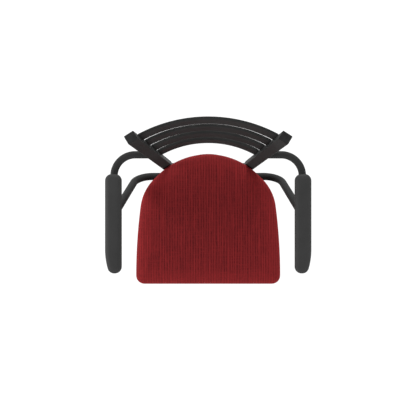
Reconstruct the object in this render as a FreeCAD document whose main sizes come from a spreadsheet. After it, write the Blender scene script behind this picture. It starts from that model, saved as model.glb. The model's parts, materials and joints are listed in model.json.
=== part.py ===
import FreeCAD, Part
import math
import os
import re

import Sketcher
from FreeCAD import Placement, Rotation, Vector

# A bar stool whose seat, back and arms turn together on a ball-bearing swivel above four legs.
# The origin is on the floor under the swivel axis and the seat faces -Y. Lengths are in
# millimetres and angles in degrees.
driving = {
    "seatHeight": 765,
    "seatWidth": 463,
    "seatFrontReach": 246.7,
    "seatRearReach": 169.8,
    "seatRearRadius": 227,
    "seatRearSweep": 44,
    "seatShoulderRadius": 150,
    "seatSideRadius": 1735,
    "seatCornerRadius": 27,
    "cushionHeight": 62,
    "cushionWidestRise": 32,
    "cushionCrown": 9,
    "cushionDrawIn": 8,
    "cushionRollInset": 18,
    "cushionTopShoulder": 46,
    "boardThickness": 12,
    "cushionLip": 5,
    "boardClearance": 0.3,
    "coverThickness": 1,
    "coverMargin": 7,
    "tubeWall": 2,
    "tubeCorner": 3,
    "spokeSize": 25.4,
    "spokeStart": 34,
    "spokeFrontAngle": 46,
    "spokeFrontReach": 228,
    "plugHead": 3,
    "plugDepth": 18,
    "plugClearance": 0.2,
    "hubMargin": 3,
    "hubCorner": 60,
    "hubThickness": 4,
    "rivetRoom": 4,
    "swivelRadius": 100,
    "swivelThickness": 3,
    "grooveDepth": 0.75,
    "ballDiameter": 9.5,
    "ballCount": 16,
    "cageMargin": 7,
    "ballClearance": 0.05,
    "cageWidth": 18,
    "cageThickness": 2,
    "cageClearance": 0.1,
    "rivetDiameter": 24,
    "rivetWall": 3,
    "rivetLip": 6,
    "rivetFlangeThickness": 1.8,
    "rivetClearance": 0.05,
    "washerThickness": 1.5,
    "washerClearance": 0.2,
    "boltCount": 4,
    "boltEdge": 16,
    "boltDiameter": 8,
    "boltHeadDiameter": 16,
    "boltHeadRounding": 2,
    "boltClearance": 0.2,
    "boltTail": 2,
    "nutAcrossFlats": 13,
    "nutHeight": 6.5,
    "screwDiameter": 5,
    "screwHeadDiameter": 10,
    "screwHeadHeight": 3,
    "screwHeadRounding": 1.5,
    "screwClearance": 0.1,
    "seatScrewMargin": 24.2,
    "seatScrewCover": 3,
    "baseSize": 292,
    "baseThickness": 5,
    "baseCorner": 22,
    "legSize": 28,
    "legTopMargin": 5.4,
    "legFootRadius": 250,
    "glideThickness": 6,
    "glideMargin": 1,
    "footrestHeight": 300,
    "footrestTube": 22,
    "footrestWeldGap": 0.2,
    "uprightWidth": 30,
    "uprightDepth": 26.5,
    "uprightCorner": 2.2,
    "uprightAngle": 35.3,
    "uprightTurn": 32,
    "uprightFan": 8.9,
    "uprightLean": 5.9,
    "uprightClearance": 2.1,
    "uprightAbove": 46.1,
    "capThickness": 3,
    "slatCount": 4,
    "slatHeight": 51,
    "slatThickness": 8,
    "slatWall": 1.5,
    "slatEdgeRadius": 2,
    "slatProud": 0.8,
    "slatFirstRise": 74.7,
    "slatPitch": 78.4,
    "slatBottomSagitta": 38.2,
    "slatTopSagitta": 47.2,
    "armTube": 22,
    "armSetOut": 45.5,
    "armRise": 170,
    "armBendRadius": 62,
    "armPadLength": 291,
    "armPadWidth": 49,
    "armPadThickness": 31,
    "armPadLap": 5,
    "armPadRearFlat": 4.5,
    "armPadNarrowing": 4.5,
    "armPadTaper": 71,
    "armPadTaperRadius": 210,
    "armPadChannelGap": 0.5,
    "armPadTubeStop": 24,
    "armPadDrawIn": 5,
    "armPadWidestRise": 14,
    "armPadEdgeDrop": 8,
    "armPadEdgeInset": 3,
    "armPadRollDrop": 2.5,
    "armPadRollInset": 9,
    "armPadTopCorner": 2,
    "armScrewRear": 45,
    "armScrewFront": 215,
    "armScrewCover": 8,
    "strutTube": 24,
    "strutForward": 69.7,
    "strutSetOut": 0.2,
    "strutBendRadius": 60,
    "strutMeet": 119.5,
    "strutWeldGap": 0.2,
}

# Sizes, heights and places that follow from the driving dimensions.
derived = {
    "cushionRollRise": "cushionHeight - cushionCrown",
    "cushionTopInset": "seatShoulderRadius - cushionTopShoulder",
    "boardInset": "cushionDrawIn + cushionLip",
    "coverInset": "boardInset + coverMargin",
    "rivetBore": "rivetDiameter - 2 * rivetWall",
    "rivetFlange": "rivetDiameter + 2 * rivetLip",
    "hubSize": "2 * (swivelRadius + hubMargin)",
    "hubHole": "rivetFlange + 2 * rivetRoom",
    "hubReach": "(hubSize / 2 - hubCorner) * sqrt(2) + hubCorner",
    "swivelGap": "ballDiameter - 2 * grooveDepth",
    "boltCircleRadius": "swivelRadius - boltEdge",
    "boltHeadHeight": "(swivelGap - cageThickness) / 2",
    "ballCircleRadius": "boltCircleRadius - boltHeadDiameter / 2 - cageMargin - cageWidth / 2",
    "seatScrewRadius": "hubReach + screwHeadDiameter / 2 + seatScrewMargin",
    "seatScrewBite": "boardThickness - seatScrewCover",
    "baseReach": "(baseSize / 2 - baseCorner) * sqrt(2) + baseCorner",
    "legTopRadius": "baseReach - legSize / 2 - legTopMargin",
    "uprightRise": "slatFirstRise + (slatCount - 1) * slatPitch + slatHeight / 2 + uprightAbove",
    "armSpan": "seatWidth + 2 * armSetOut",
    "armPadRearCorner": "armPadWidth / 2 - armPadRearFlat",
    "armPadFrontCorner": "armPadWidth / 2 - armPadNarrowing",
    "armPadStraight": "armPadLength - armPadTaper",
    "armPadEdgeRise": "armPadThickness - armPadEdgeDrop",
    "armPadRollRise": "armPadThickness - armPadRollDrop",
    "armPadTopInset": "armPadFrontCorner - armPadTopCorner",
    "armScrewBite": "armPadThickness - armTube / 2 - armScrewCover",
    "strutBack": "seatRearReach - strutForward",
    "strutReach": "seatWidth / 2 + strutSetOut",
    "boardBottom": "seatHeight - cushionHeight",
    "coverBottom": "boardBottom - coverThickness",
    "spokeBottom": "coverBottom - spokeSize",
    "spokeMiddle": "spokeBottom + spokeSize / 2",
    "hubBottom": "spokeBottom - hubThickness",
    "upperPlateBottom": "hubBottom - swivelThickness",
    "lowerPlateTop": "upperPlateBottom - swivelGap",
    "ballHeight": "lowerPlateTop + swivelGap / 2",
    "lowerPlateBottom": "lowerPlateTop - swivelThickness",
    "baseBottom": "lowerPlateBottom - baseThickness",
    "armHeight": "seatHeight + armRise",
    "screwHole": "screwDiameter + 2 * screwClearance",
    "boltHole": "boltDiameter + 2 * boltClearance",
}

sideNames = {1: "right", -1: "left"}
hexagonSides = 6
alignedAngle = 8
quarterTurn = 90
halfTurn = 180
fullTurn = 360
cutterReach = 600
overrun = 5
sideSteps = 3
rollSteps = 5
crownSteps = 4
sameSpot = 0.01

doc = FreeCAD.newDocument("SwivelBarStool")
sheet = doc.addObject("Spreadsheet::Sheet", "Sizes")
for row, (alias, amount) in enumerate(driving.items(), start=1):
    sheet.set(f"A{row}", alias)
    sheet.set(f"B{row}", str(amount))
    sheet.setAlias(f"B{row}", alias)
doc.recompute()
pieces = {}


def cells(formula):
    """Write a formula of size names as an expression on the sheet's cells."""

    def cellOf(match):
        name = match.group(0)
        if name in derived:
            return "(" + cells(derived[name]) + ")"
        return "Sizes." + name if name in driving else name

    return re.sub(r"[A-Za-z]\w*", cellOf, formula)


def amountOf(formula):
    return float(sheet.evalExpression(cells(formula)))


def bind(item, **formulas):
    for prop, formula in formulas.items():
        item.setExpression(prop, cells(formula))
    return item


def keep(item, label):
    item.Label = label
    pieces[label] = item
    return item


def box(name, place, length, width, height):
    return bind(primitive("Part::Box", name, place), Length=length, Width=width, Height=height)


def cylinder(name, place, diameter, height):
    return bind(primitive("Part::Cylinder", name, place), Radius=f"({diameter}) / 2", Height=height)


def primitive(kind, name, place):
    item = doc.addObject(kind, name)
    item.Placement = place
    return item


def cut(name, base, tool):
    result = doc.addObject("Part::Cut", name)
    result.Base = base
    result.Tool = tool
    return result


def common(name, base, tool):
    result = doc.addObject("Part::Common", name)
    result.Base = base
    result.Tool = tool
    return result


def fuse(name, shapes):
    result = doc.addObject("Part::MultiFuse", name)
    result.Shapes = shapes
    return result


def roundEdges(name, base, radius, chosen):
    """Round the edges of a solid that the test picks out."""
    doc.recompute()
    result = doc.addObject("Part::Fillet", name)
    result.Base = base
    result.Edges = [(i, radius, radius) for i, edge in enumerate(base.Shape.Edges, start=1) if chosen(edge)]
    return result


def at(x, y, z):
    return Placement(Vector(x, y, z), Rotation())


def turned(angle):
    return Placement(Vector(), Rotation(Vector(0, 0, 1), angle))


def frameOf(origin, xAxis, zAxis):
    return Placement(origin, Rotation(xAxis, zAxis.cross(xAxis), zAxis, "ZXY"))


def isAlong(axis):
    nearlyAligned = math.cos(math.radians(alignedAngle))

    def chosen(edge):
        run = edge.Vertexes[-1].Point.sub(edge.Vertexes[0].Point)
        return abs(run.normalize().dot(axis)) > nearlyAligned

    return chosen


def isBent(edge):
    return not isinstance(edge.Curve, Part.Line)


def roundedBox(name, place, length, width, height, radius):
    """A bar along the frame's Z axis, centred on it, with its four long edges rounded."""
    corner = Vector(-amountOf(length) / 2, -amountOf(width) / 2, 0)
    bar = box(name + "Bar", place * Placement(corner, Rotation()), length, width, height)
    axis = place.Rotation.multVec(Vector(0, 0, 1))
    return roundEdges(name, bar, radius, isAlong(axis))


def squareTube(name, place, width, depth, length, corner):
    """A hollow tube along the frame's Z axis, open at both ends."""
    outer = roundedBox(name + "Outer", place, width, depth, length, amountOf(corner))
    boreCorner = Vector(-amountOf(width) / 2, -amountOf(depth) / 2, 0)
    wall = amountOf("tubeWall")
    bore = box(
        name + "Bore",
        place * Placement(boreCorner.add(Vector(wall, wall, -overrun)), Rotation()),
        f"{width} - 2 * tubeWall",
        f"{depth} - 2 * tubeWall",
        f"{length} + {2 * overrun}",
    )
    return cut(name, outer, bore)


def originPlane(body, role):
    return next(plane for plane in body.Origin.OriginFeatures if plane.Role == role)


def newSketch(body, name, role):
    sketch = body.newObject("Sketcher::SketchObject", name)
    sketch.AttachmentSupport = (originPlane(body, role), [""])
    sketch.MapMode = "FlatFace"
    return sketch


def dimension(sketch, constraint, name, formula):
    """Add a driving constraint and tie its value to the sheet."""
    sketch.renameConstraint(sketch.addConstraint(constraint), name)
    sketch.setExpression("Constraints." + name, cells(formula))


def addCircle(sketch, name, diameter):
    radius = amountOf(diameter) / 2
    circle = sketch.addGeometry(Part.Circle(Vector(), Vector(0, 0, 1), radius))
    sketch.addConstraint(Sketcher.Constraint("Coincident", circle, 3, -1, 1))
    dimension(sketch, Sketcher.Constraint("Diameter", circle, 2 * radius), name, diameter)


def bentTube(name, place, diameter, bendRadius, firstRun, secondRun, turn):
    """A round tube that runs along X, bends towards Y by an angle and runs on straight."""
    body = doc.addObject("PartDesign::Body", name)
    radius = amountOf(bendRadius)
    angle = math.radians(turn)
    tangent = radius * math.tan(angle / 2)
    corner = Vector(firstRun, 0, 0)
    bendStart = Vector(firstRun - tangent, 0, 0)
    heading = Vector(math.cos(angle), math.sin(angle), 0)
    bendEnd = corner + heading * tangent
    end = corner + heading * secondRun
    path = newSketch(body, name + "Path", "XY_Plane")
    first = path.addGeometry(Part.LineSegment(Vector(), bendStart))
    hub = Part.Circle(bendStart + Vector(0, radius, 0), Vector(0, 0, 1), radius)
    bend = path.addGeometry(Part.ArcOfCircle(hub, -math.pi / 2, angle - math.pi / 2))
    second = path.addGeometry(Part.LineSegment(bendEnd, end))
    path.addConstraint(Sketcher.Constraint("Coincident", first, 1, -1, 1))
    path.addConstraint(Sketcher.Constraint("Horizontal", first))
    path.addConstraint(Sketcher.Constraint("Tangent", first, 2, bend, 1))
    path.addConstraint(Sketcher.Constraint("Tangent", bend, 2, second, 1))
    path.addConstraint(Sketcher.Constraint("Distance", first, firstRun - tangent))
    path.addConstraint(Sketcher.Constraint("Distance", second, secondRun - tangent))
    path.addConstraint(Sketcher.Constraint("Angle", second, angle))
    dimension(path, Sketcher.Constraint("Radius", bend, radius), "bendRadius", bendRadius)
    section = newSketch(body, name + "Section", "YZ_Plane")
    addCircle(section, "outside", diameter)
    addCircle(section, "inside", f"{diameter} - 2 * tubeWall")
    pipe = body.newObject("PartDesign::AdditivePipe", name + "Pipe")
    pipe.Profile = section
    pipe.Spine = (path, ["Edge1", "Edge2", "Edge3"])
    body.Placement = place
    return body


def group(label, shapes):
    """Several equal small pieces kept together as separate solids."""
    item = doc.addObject("Part::Feature", label)
    item.Shape = Part.makeCompound(shapes)
    return keep(item, label)


def arcBetween(centre, radius, start, end):
    middle = (start - centre) + (end - centre)
    return Part.Arc(start, centre + middle.normalize() * radius, end).toShape()


def lineBetween(start, end):
    return Part.LineSegment(start, end).toShape()


def mirrored(point):
    return Vector(-point.x, point.y, point.z)


def shoulderOf(rearCentre, sideCentre):
    """The shoulder's centre, and the direction from it to where it leaves the rear curve.

    The rear curve is an arc that runs on straight past its sweep. A seat too narrow for the
    straight has its shoulder on the arc itself.
    """
    toRear = amountOf("seatRearRadius - seatShoulderRadius")
    toSide = amountOf("seatSideRadius - seatShoulderRadius")
    outward = turned(-amountOf("seatRearSweep")).multVec(Vector(0, 1, 0))
    onward = Vector(outward.y, -outward.x, 0)
    start = rearCentre + outward * toRear
    fromSide = start - sideCentre
    run = math.sqrt(toSide**2 - fromSide.Length**2 + fromSide.dot(onward) ** 2) - fromSide.dot(onward)
    if run > 0:
        return start + onward * run, outward
    between = rearCentre - sideCentre
    span = between.Length
    along = (toSide**2 - toRear**2 + span**2) / (2 * span)
    across = math.sqrt(toSide**2 - along**2)
    ahead = between.normalize()
    centre = sideCentre + ahead * along + Vector(-ahead.y, ahead.x, 0) * across
    return centre, (centre - rearCentre).normalize()


def seatOutline(inset, cornerRadius, height):
    """The seat's outline drawn in by an inset: rear curve, shoulders, long side arcs, front corners."""
    rear = amountOf("seatRearRadius") - inset
    shoulder = amountOf("seatShoulderRadius") - inset
    side = amountOf("seatSideRadius") - inset
    front = inset - amountOf("seatFrontReach")
    rearCentre = Vector(0, amountOf("seatRearReach") - amountOf("seatRearRadius"), height)
    sideX = amountOf("seatWidth / 2 - seatSideRadius")
    sideCentre = Vector(sideX, amountOf("seatCornerRadius - seatFrontReach"), height)
    shoulderCentre, outward = shoulderOf(rearCentre, sideCentre)
    rearEnd = rearCentre + outward * rear
    shoulderStart = shoulderCentre + outward * shoulder
    sideStart = sideCentre + (shoulderCentre - sideCentre).normalize() * side
    cornerY = front + cornerRadius
    cornerX = sideX + math.sqrt((side - cornerRadius) ** 2 - (cornerY - sideCentre.y) ** 2)
    cornerCentre = Vector(cornerX, cornerY, height)
    sideEnd = sideCentre + (cornerCentre - sideCentre).normalize() * side
    cornerEnd = Vector(cornerX, front, height)
    hasStraight = rearEnd.distanceToPoint(shoulderStart) > sameSpot
    straight = [lineBetween(rearEnd, shoulderStart)] if hasStraight else []
    opposite = [lineBetween(mirrored(shoulderStart), mirrored(rearEnd))] if hasStraight else []
    return Part.Wire([
        arcBetween(rearCentre, rear, mirrored(rearEnd), rearEnd),
        *straight,
        arcBetween(shoulderCentre, shoulder, shoulderStart, sideStart),
        arcBetween(sideCentre, side, sideStart, sideEnd),
        arcBetween(cornerCentre, cornerRadius, sideEnd, cornerEnd),
        lineBetween(cornerEnd, mirrored(cornerEnd)),
        arcBetween(mirrored(cornerCentre), cornerRadius, mirrored(cornerEnd), mirrored(sideEnd)),
        arcBetween(mirrored(sideCentre), side, mirrored(sideEnd), mirrored(sideStart)),
        arcBetween(mirrored(shoulderCentre), shoulder, mirrored(sideStart), mirrored(shoulderStart)),
        *opposite,
    ])


def seatSlab(inset, bottom, thickness):
    """A flat layer of the seat's outline."""
    cornerRadius = amountOf("seatCornerRadius") - amountOf("cushionDrawIn")
    outline = seatOutline(inset, cornerRadius, bottom)
    return Part.Face(outline).extrude(Vector(0, 0, thickness))


def uprightFrame(side):
    """The upright's frame: origin in the seat's widest level, Z up the tube, Y away from the seat."""
    away = turned(-side * amountOf("uprightAngle")).multVec(Vector(0, 1, 0))
    facing = turned(-side * amountOf("uprightTurn")).multVec(Vector(0, 1, 0))
    reach = amountOf("seatRearRadius + uprightClearance + uprightDepth / 2")
    height = amountOf("boardBottom + cushionWidestRise")
    rearCentre = Vector(0, amountOf("seatRearReach - seatRearRadius"), height)
    fan = math.tan(math.radians(amountOf("uprightFan")))
    lean = math.tan(math.radians(amountOf("uprightLean")))
    rising = Vector(side * fan, lean, 1).normalize()
    xAxis = facing.cross(rising).normalize()
    return frameOf(rearCentre + away * reach, xAxis, rising)


def uprightSide(side, offset, height):
    """The point of an upright's side face, or of its axis, at a height above the floor."""
    frame = uprightFrame(side)
    rising = frame.Rotation.multVec(Vector(0, 0, 1))
    start = frame.multVec(Vector(offset, 0, 0))
    return start + rising * ((height - start.z) / rising.z)


def halfSpace(name, place, corner):
    """A large block whose corner face stands on a plane of the given frame."""
    size = str(2 * cutterReach)
    return box(name, place * Placement(corner, Rotation()), size, size, size)


# Base: four splayed legs of square tube under a top plate, with a footrest ring inside them.
baseBottom = amountOf("baseBottom")
legTilt = math.degrees(math.atan2(amountOf("legFootRadius - legTopRadius"), baseBottom))
legSpread = {"front_left": -135, "front_right": -45, "rear_right": 45, "rear_left": 135}
legLength = f"baseBottom / cos({legTilt}) + 2 * legSize"
glideTop = amountOf("glideThickness")


def levelSlab(name, bottom, top):
    corner = Vector(-cutterReach, -cutterReach, bottom)
    size = str(2 * cutterReach)
    return box(name, Placement(corner, Rotation()), size, size, str(top - bottom))


legLevels = levelSlab("LegLevels", glideTop, baseBottom)
stemLevels = levelSlab("GlideStemLevels", glideTop / 2, glideTop + amountOf("plugDepth"))
for corner, angle in legSpread.items():
    lean = Placement(Vector(amountOf("legFootRadius"), 0, 0), Rotation(Vector(0, 1, 0), -legTilt))
    legFrame = turned(angle) * lean * at(0, 0, -amountOf("legSize"))
    tube = squareTube("LegTube_" + corner, legFrame, "legSize", "legSize", legLength, "tubeCorner")
    keep(common("Leg_" + corner, tube, legLevels), "leg_" + corner)
    stemSize = "legSize - 2 * tubeWall - 2 * plugClearance"
    stemLength = "plugDepth + glideThickness + 2 * legSize"
    stemCorner = amountOf("tubeCorner - tubeWall")
    stemBar = roundedBox("GlideStem_" + corner, legFrame, stemSize, stemSize, stemLength, stemCorner)
    stem = common("GlideStemCut_" + corner, stemBar, stemLevels)
    footFrame = turned(angle) * at(amountOf("legFootRadius"), 0, 0)
    footSize = "legSize + 2 * glideMargin"
    footCorner = amountOf("tubeCorner + glideMargin")
    foot = roundedBox("GlideFoot_" + corner, footFrame, footSize, footSize, "glideThickness", footCorner)
    keep(fuse("Glide_" + corner, [foot, stem]), "glide_" + corner)

legSlope = math.tan(math.radians(legTilt))
legInside = amountOf("legFootRadius - legSize / 2") - legSlope * amountOf("footrestHeight")
footrestReach = (amountOf("footrestTube") / 2 + amountOf("footrestWeldGap")) / math.cos(math.radians(legTilt))
ringPlace = at(0, 0, amountOf("footrestHeight"))
ringOuter = bind(primitive("Part::Torus", "FootrestOuter", ringPlace), Radius2="footrestTube / 2")
ringOuter.Radius1 = legInside - footrestReach
ringBore = bind(primitive("Part::Torus", "FootrestBore", ringPlace), Radius2="footrestTube / 2 - tubeWall")
ringBore.Radius1 = legInside - footrestReach
keep(cut("FootrestRing", ringOuter, ringBore), "footrest_ring")

boltCount = int(amountOf("boltCount"))


def boltHoles(name, bottom, height):
    """The holes on the bolt circle, the first of them at the right side of the axis."""
    holes = []
    for step in range(boltCount):
        place = turned(step * fullTurn / boltCount) * at(amountOf("boltCircleRadius"), 0, bottom - overrun)
        holes.append(cylinder(f"{name}{step}", place, "boltHole", f"{height} + {2 * overrun}"))
    return holes


def drilledPlate(label, bottom, sideLength, thickness, corner):
    """A square plate with rounded corners, a centre hole and the bolt holes."""
    level = amountOf(bottom)
    slab = roundedBox(label + "Slab", at(0, 0, level), sideLength, sideLength, thickness, amountOf(corner))
    centre = cylinder(label + "Centre", at(0, 0, level - overrun), "hubHole", f"{thickness} + {2 * overrun}")
    holes = fuse(label + "Holes", [centre] + boltHoles(label + "Bolt", level, thickness))
    return keep(cut(label + "Cut", slab, holes), label)


drilledPlate("base_top_plate", "baseBottom", "baseSize", "baseThickness", "baseCorner")
drilledPlate("seat_hub_plate", "hubBottom", "hubSize", "hubThickness", "hubCorner")


# Swivel: two round pressed plates with a ball groove each, held together by a hollow rivet.
def swivelPlate(label, bottom, bore):
    level = amountOf(bottom)
    disc = cylinder(label + "Disc", at(0, 0, level), "2 * swivelRadius", "swivelThickness")
    through = f"swivelThickness + {2 * overrun}"
    centre = cylinder(label + "Centre", at(0, 0, level - overrun), bore, through)
    groove = primitive("Part::Torus", label + "Groove", at(0, 0, amountOf("ballHeight")))
    bind(groove, Radius1="ballCircleRadius", Radius2="ballDiameter / 2 + ballClearance")
    holes = boltHoles(label + "Bolt", level, "swivelThickness")
    return keep(cut(label + "Cut", disc, fuse(label + "Holes", [centre, groove] + holes)), label)


swivelPlate("swivel_lower_plate", "lowerPlateBottom", "rivetDiameter")
swivelPlate("swivel_upper_plate", "upperPlateBottom", "rivetDiameter + 2 * rivetClearance")

washerBottom = amountOf("hubBottom")
washerBody = cylinder("WasherBody", at(0, 0, washerBottom), "rivetFlange", "washerThickness")
washerBore = cylinder(
    "WasherBore",
    at(0, 0, washerBottom - overrun),
    "rivetDiameter + 2 * rivetClearance",
    f"washerThickness + {2 * overrun}",
)
keep(cut("Washer", washerBody, washerBore), "swivel_washer")

rivetBottom = amountOf("lowerPlateBottom - rivetFlangeThickness")
upperFlange = amountOf("hubBottom + washerThickness + washerClearance")
rivetLength = str(upperFlange - rivetBottom) + " + rivetFlangeThickness"
barrel = cylinder("RivetBarrel", at(0, 0, rivetBottom), "rivetDiameter", rivetLength)
lowerRim = cylinder("RivetLowerRim", at(0, 0, rivetBottom), "rivetFlange", "rivetFlangeThickness")
upperRim = cylinder("RivetUpperRim", at(0, 0, upperFlange), "rivetFlange", "rivetFlangeThickness")
rivetThrough = f"{rivetLength} + {2 * overrun}"
rivetBore = cylinder("RivetBore", at(0, 0, rivetBottom - overrun), "rivetBore", rivetThrough)
rivetBody = fuse("RivetBody", [barrel, lowerRim, upperRim])
keep(cut("Rivet", rivetBody, rivetBore), "swivel_centre_rivet")

cage = doc.addObject("PartDesign::Body", "BallCage")
cageRing = newSketch(cage, "CageRing", "XY_Plane")
addCircle(cageRing, "outside", "2 * ballCircleRadius + cageWidth")
addCircle(cageRing, "inside", "2 * ballCircleRadius - cageWidth")
cagePad = cage.newObject("PartDesign::Pad", "CagePad")
cagePad.Profile = cageRing
cagePad.Midplane = True
bind(cagePad, Length="cageThickness")
pocketSketch = newSketch(cage, "BallPocketSketch", "XY_Plane")
pocketRadius = amountOf("ballDiameter / 2 + cageClearance")
pocketCentre = Vector(amountOf("ballCircleRadius"), 0, 0)
pocketCircle = pocketSketch.addGeometry(Part.Circle(pocketCentre, Vector(0, 0, 1), pocketRadius))
pocketSketch.addConstraint(Sketcher.Constraint("PointOnObject", pocketCircle, 3, -1))
fromAxis = Sketcher.Constraint("DistanceX", -1, 1, pocketCircle, 3, pocketCentre.x)
dimension(pocketSketch, fromAxis, "circleRadius", "ballCircleRadius")
pocketSize = Sketcher.Constraint("Diameter", pocketCircle, 2 * pocketRadius)
dimension(pocketSketch, pocketSize, "pocketDiameter", "ballDiameter + 2 * cageClearance")
ballPocket = cage.newObject("PartDesign::Pocket", "BallPocket")
ballPocket.Profile = pocketSketch
ballPocket.Type = "ThroughAll"
ballPocket.Midplane = True
doc.recompute()
pocketRing = cage.newObject("PartDesign::PolarPattern", "PocketRing")
pocketRing.Originals = [ballPocket]
pocketRing.Axis = (cageRing, ["N_Axis"])
pocketRing.Angle = fullTurn
bind(pocketRing, Occurrences="ballCount")
cage.Tip = pocketRing
cage.Placement = at(0, 0, amountOf("ballHeight"))
keep(cage, "swivel_ball_cage")

ballStep = fullTurn / amountOf("ballCount")
ballCentre = Vector(amountOf("ballCircleRadius"), 0, amountOf("ballHeight"))
ballSpots = [turned(step * ballStep).multVec(ballCentre) for step in range(int(amountOf("ballCount")))]
group("swivel_balls", [Part.makeSphere(amountOf("ballDiameter") / 2, spot) for spot in ballSpots])


def carriageBolt(head, end):
    """A bolt along Z from its low round head at one height to its tail at another."""
    upward = 1 if end > head else -1
    axis = Vector(0, 0, upward)
    shank = Part.makeCylinder(amountOf("boltDiameter") / 2, abs(end - head), Vector(0, 0, head), axis)
    headHeight = amountOf("boltHeadHeight")
    cap = Part.makeCylinder(amountOf("boltHeadDiameter") / 2, headHeight, Vector(0, 0, head), axis * -1)
    rim = [edge for edge in cap.Edges if edge.Closed and abs(edge.BoundBox.Center.z - head) > headHeight / 2]
    return shank.fuse(cap.makeFillet(amountOf("boltHeadRounding"), rim)).removeSplitter()


def hexNut(bottom):
    """A plain hexagon nut around the bolt."""
    circumradius = amountOf("nutAcrossFlats") / 2 / math.cos(math.pi / hexagonSides)
    corner = Vector(circumradius, 0, bottom)
    corners = range(hexagonSides + 1)
    spots = [turned(step * fullTurn / hexagonSides).multVec(corner) for step in corners]
    prism = Part.Face(Part.makePolygon(spots)).extrude(Vector(0, 0, amountOf("nutHeight")))
    threadRadius = amountOf("boltDiameter") / 2 + amountOf("boltClearance") / 2
    return prism.cut(Part.makeCylinder(threadRadius, amountOf("nutHeight"), Vector(0, 0, bottom)))


def onBoltCircle(shape):
    """Copies of a shape, one at each bolt hole."""
    copies = []
    for step in range(boltCount):
        copy = shape.copy()
        copy.Placement = turned(step * fullTurn / boltCount) * at(amountOf("boltCircleRadius"), 0, 0)
        copies.append(copy)
    return copies


nutBelow = amountOf("baseBottom - nutHeight")
nutAbove = amountOf("spokeBottom")
boltTail = amountOf("boltTail")
group("base_bolts", onBoltCircle(carriageBolt(amountOf("lowerPlateTop"), nutBelow - boltTail)))
group("base_nuts", onBoltCircle(hexNut(nutBelow)))
hubBoltEnd = nutAbove + amountOf("nutHeight") + boltTail
group("hub_bolts", onBoltCircle(carriageBolt(amountOf("upperPlateBottom"), hubBoltEnd)))
group("hub_nuts", onBoltCircle(hexNut(nutAbove)))

# Seat frame: four spokes of square tube on the hub plate, the rear two reaching the uprights.
spokeMiddle = amountOf("spokeMiddle")
frontAngle = amountOf("spokeFrontAngle")
spokeAngles = {}
for side, sideName in sideNames.items():
    upright = uprightSide(side, 0, spokeMiddle)
    spokeAngles["rear_" + sideName] = math.degrees(math.atan2(upright.y, upright.x))
    spokeAngles["front_" + sideName] = -frontAngle if side > 0 else frontAngle - halfTurn


def spokeFrame(angle, start):
    """A frame on the spoke's axis with Z along the spoke and Y downwards."""
    along = turned(angle).multVec(Vector(1, 0, 0))
    across = along.cross(Vector(0, 0, 1))
    return frameOf(along * start + Vector(0, 0, spokeMiddle), across, along)


def screwHoleAt(name, spot, bottom, height):
    return cylinder(name, at(spot.x, spot.y, bottom), "screwHole", height)


seatScrewSpots = []
plugs = []
for corner, angle in spokeAngles.items():
    isRear = corner.startswith("rear")
    start = spokeFrame(angle, amountOf("spokeStart"))
    reach = "seatRearRadius - spokeStart" if isRear else "spokeFrontReach - spokeStart"
    tube = squareTube("SpokeTube_" + corner, start, "spokeSize", "spokeSize", reach, "tubeCorner")
    spot = turned(angle).multVec(Vector(amountOf("seatScrewRadius"), 0, 0))
    seatScrewSpots.append(spot)
    drillBottom = amountOf("spokeBottom") - overrun
    tools = [screwHoleAt("SpokeScrewHole_" + corner, spot, drillBottom, f"spokeSize + {2 * overrun}")]
    if isRear:
        side = 1 if corner.endswith("right") else -1
        beyond = Vector(-cutterReach, -amountOf("uprightDepth") / 2, -cutterReach)
        tools.append(halfSpace("SpokeEnd_" + corner, uprightFrame(side), beyond))
    else:
        plugFrame = spokeFrame(angle, amountOf("spokeFrontReach"))
        head = roundedBox(
            "PlugHead_" + corner, plugFrame, "spokeSize", "spokeSize", "plugHead", amountOf("tubeCorner")
        )
        stemSize = "spokeSize - 2 * tubeWall - 2 * plugClearance"
        stemFrame = spokeFrame(angle, amountOf("spokeFrontReach - plugDepth"))
        stemCorner = amountOf("tubeCorner - tubeWall")
        stem = roundedBox("PlugStem_" + corner, stemFrame, stemSize, stemSize, "plugDepth", stemCorner)
        plugs.append(fuse("Plug_" + corner, [head, stem]))
    spokeTool = fuse("SpokeTools_" + corner, tools) if isRear else tools[0]
    keep(cut("Spoke_" + corner, tube, spokeTool), "seat_spoke_" + corner)
spokePlugs = doc.addObject("Part::Compound", "SpokePlugs")
spokePlugs.Links = plugs
keep(spokePlugs, "spoke_end_plugs")

# Seat: a plywood board with a dust cover below, under a crowned cushion that wraps its edge.
boardBottom = amountOf("boardBottom")
coverBottom = amountOf("coverBottom")
boardThickness = amountOf("boardThickness")
screwTop = boardBottom + amountOf("seatScrewBite")
screwHoleRadius = amountOf("screwHole") / 2


def drilledLayer(label, layer, spots, bottom, top):
    """A seat layer with its screw holes."""
    starts = [Vector(spot.x, spot.y, bottom) for spot in spots]
    holes = [Part.makeCylinder(screwHoleRadius, top - bottom, start) for start in starts]
    item = doc.addObject("Part::Feature", label)
    item.Shape = layer.cut(holes)
    return keep(item, label)


board = seatSlab(amountOf("boardInset"), boardBottom, boardThickness)
boardHoleTop = screwTop + amountOf("screwClearance")
drilledLayer("seat_board", board, seatScrewSpots, boardBottom - overrun, boardHoleTop)
cover = seatSlab(amountOf("coverInset"), coverBottom, amountOf("coverThickness"))
drilledLayer("seat_dust_cover", cover, seatScrewSpots, coverBottom - overrun, boardBottom + overrun)


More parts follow.
